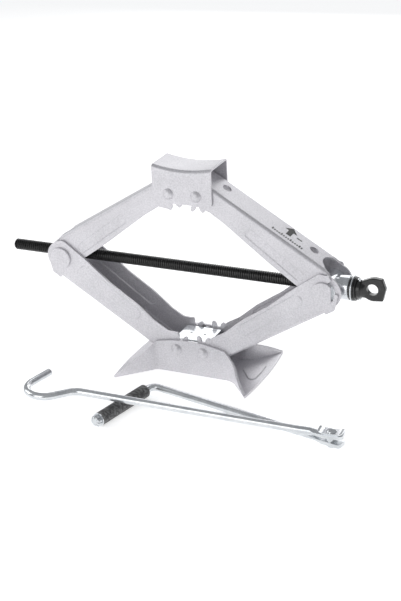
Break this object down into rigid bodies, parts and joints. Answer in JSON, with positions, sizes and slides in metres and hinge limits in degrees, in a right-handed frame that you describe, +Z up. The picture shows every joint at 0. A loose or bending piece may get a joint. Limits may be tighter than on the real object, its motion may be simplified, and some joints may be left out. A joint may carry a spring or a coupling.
{
  "type": "scissor stabilizer jack",
  "caption": "Scissor stabilizer jack: geared folding arms between a flared base and a curved saddle, driven by a threaded screw with a pulling eye, with its folding hook crank lying beside it.",
  "frame": {"origin": "centre of the base pan's sole, on the ground", "axes": "+X along the screw towards the pulling eye, +Y across the jack away from the crank, +Z up"},
  "size_m": [0.4858, 0.2511, 0.2639],
  "materials": {
    "silver_paint": "satin hammered silver paint over pressed steel",
    "bright_zinc": "bright bluish zinc plate",
    "black_oxide": "oiled black oxide",
    "grip_plastic": "dark grey ribbed plastic"
  },
  "bodies": {
    "base": {"base_pan": "silver_paint", "base_spacer": "bright_zinc", "base_rivets": "silver_paint"},
    "lower_left_arm": {"lower_left_arm": "silver_paint"},
    "lower_right_arm": {"lower_right_arm": "silver_paint"},
    "upper_left_arm": {"upper_left_arm": "silver_paint"},
    "upper_right_arm": {"upper_right_arm": "silver_paint"},
    "saddle": {"saddle": "silver_paint", "saddle_spacer": "bright_zinc", "saddle_rivets": "silver_paint"},
    "nut_trunnion": {"nut_trunnion": "silver_paint"},
    "thrust_trunnion": {"thrust_trunnion": "bright_zinc", "front_race": "black_oxide"},
    "lead_screw": {"lead_screw": "black_oxide", "screw_eye": "black_oxide", "eye_pin": "bright_zinc", "lock_collar": "black_oxide", "thrust_washer": "bright_zinc", "rear_race": "black_oxide"},
    "handle_rod": {"handle_rod": "bright_zinc", "grip_cap": "bright_zinc", "fold_rivet": "bright_zinc", "fold_spacer": "bright_zinc"},
    "hook_rod": {"hook_rod": "bright_zinc", "fold_clip": "bright_zinc"},
    "grip": {"grip": "grip_plastic"}
  },
  "joints": [
    {"name": "lift", "type": "hinge", "parent": "base", "child": "lower_left_arm", "pos_m": [-0.0175, 0, 0.0315], "axis": [0, 1, 0], "range_deg": [-26, 34]},
    {"name": "lower_right_pivot", "type": "hinge", "parent": "base", "child": "lower_right_arm", "pos_m": [0.0175, 0, 0.0315], "axis": [0, 1, 0], "range_deg": [-34, 26]},
    {"name": "left_knee", "type": "hinge", "parent": "lower_left_arm", "child": "upper_left_arm", "pos_m": [-0.17014, 0, 0.13062], "axis": [0, 1, 0], "range_deg": [-68, 52]},
    {"name": "right_knee", "type": "hinge", "parent": "lower_right_arm", "child": "upper_right_arm", "pos_m": [0.17014, 0, 0.13062], "axis": [0, 1, 0], "range_deg": [-52, 68]},
    {"name": "saddle_pivot", "type": "hinge", "parent": "upper_left_arm", "child": "saddle", "pos_m": [-0.0175, 0, 0.22975], "axis": [0, 1, 0], "range_deg": [-26, 34]},
    {"name": "nut_trunnion_turn", "type": "hinge", "parent": "lower_left_arm", "child": "nut_trunnion", "pos_m": [-0.17014, 0, 0.13062], "axis": [0, 1, 0], "range_deg": [-34, 26]},
    {"name": "thrust_trunnion_turn", "type": "hinge", "parent": "lower_right_arm", "child": "thrust_trunnion", "pos_m": [0.17014, 0, 0.13062], "axis": [0, 1, 0], "range_deg": [-26, 34]},
    {"name": "screw_spin", "type": "hinge", "parent": "thrust_trunnion", "child": "lead_screw", "pos_m": [0.17014, 0, 0.13062], "axis": [1, 0, 0], "continuous": true},
    {"name": "crank_lift", "type": "slide", "parent": "base", "child": "handle_rod", "axis": [0, 0, 1], "range_m": [0, 0.3]},
    {"name": "crank_fold", "type": "hinge", "parent": "handle_rod", "child": "hook_rod", "pos_m": [0.2159, -0.1285, 0.0148], "axis": [0, 0, 1], "range_deg": [0, 165.4]},
    {"name": "grip_spin", "type": "hinge", "parent": "handle_rod", "child": "grip", "pos_m": [-0.0238, -0.0821, 0.008], "axis": [-0.2334, -0.9724, 0], "continuous": true}
  ],
  "couplings": [
    {"joint": "lower_right_pivot", "follows": "lift", "ratio": -1},
    {"joint": "left_knee", "follows": "lift", "ratio": -2},
    {"joint": "right_knee", "follows": "lift", "ratio": 2},
    {"joint": "saddle_pivot", "follows": "lift", "ratio": 1},
    {"joint": "nut_trunnion_turn", "follows": "lift", "ratio": -1},
    {"joint": "thrust_trunnion_turn", "follows": "lift", "ratio": 1}
  ]
}
